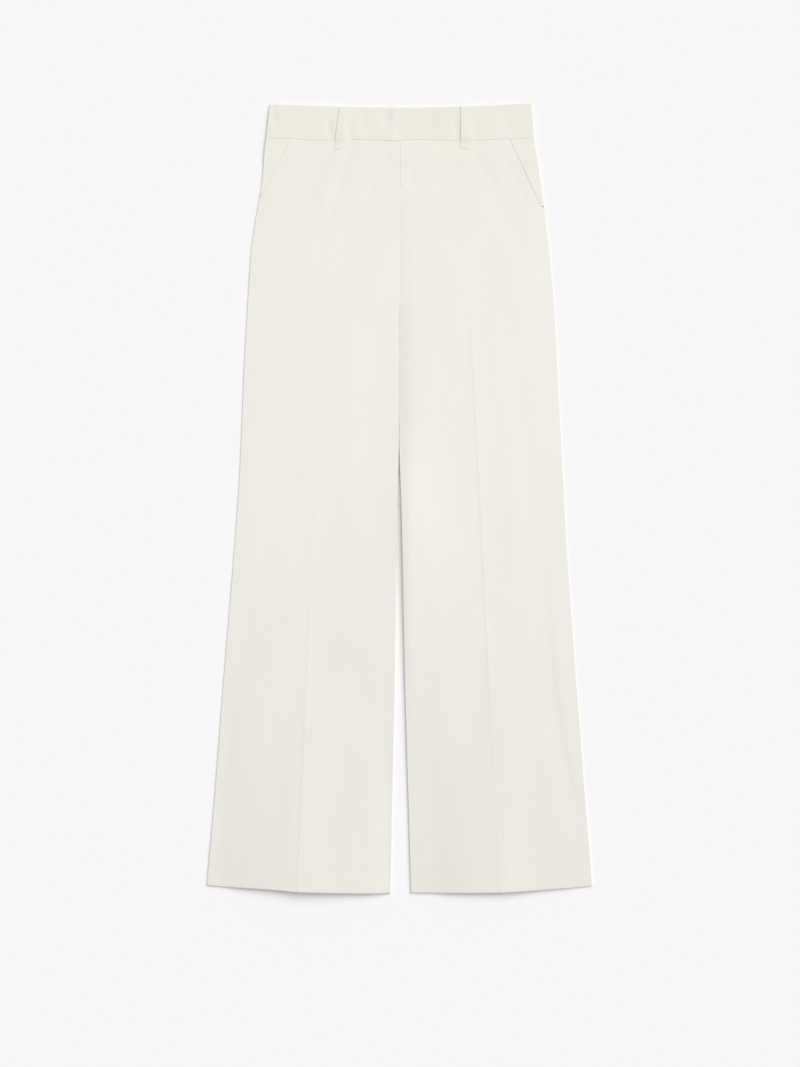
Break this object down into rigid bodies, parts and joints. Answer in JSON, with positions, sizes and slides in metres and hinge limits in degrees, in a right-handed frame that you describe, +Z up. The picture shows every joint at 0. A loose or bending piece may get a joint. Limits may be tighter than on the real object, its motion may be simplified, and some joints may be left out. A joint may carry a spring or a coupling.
{
  "type": "wide-leg velvet trousers",
  "caption": "Wide-leg trousers in cream ribbed velvet, laid flat, with a straight waistband, belt loops, slanted front pockets, a covered fly and pressed creases.",
  "frame": {"origin": "middle of the garment's box, on the surface that it lies on", "axes": "+Z up, away from the surface; +Y from the hems towards the waist; +X towards the wearer's left leg, which is on the right of someone looking down at the front"},
  "size_m": [0.5422, 1.1116, 0.0107],
  "materials": {
    "ribbed_velvet": "soft cream pile in fine lengthwise ribs, matt with a faint sheen at grazing angles",
    "band_velvet": "the same cream pile with the ribs running along the band, folded double"
  },
  "bodies": {
    "root": {"back_right": "ribbed_velvet", "back_left": "ribbed_velvet", "front_right": "ribbed_velvet", "front_left": "ribbed_velvet", "pocket_bearer_right": "ribbed_velvet", "pocket_bearer_left": "ribbed_velvet", "waistband_back": "band_velvet", "waistband_front_right": "band_velvet", "waistband_front_left": "band_velvet", "belt_loop_front_right": "band_velvet", "belt_loop_front_left": "band_velvet", "belt_loop_back_right": "band_velvet", "belt_loop_back_centre": "band_velvet", "belt_loop_back_left": "band_velvet"}
  },
  "joints": []
}
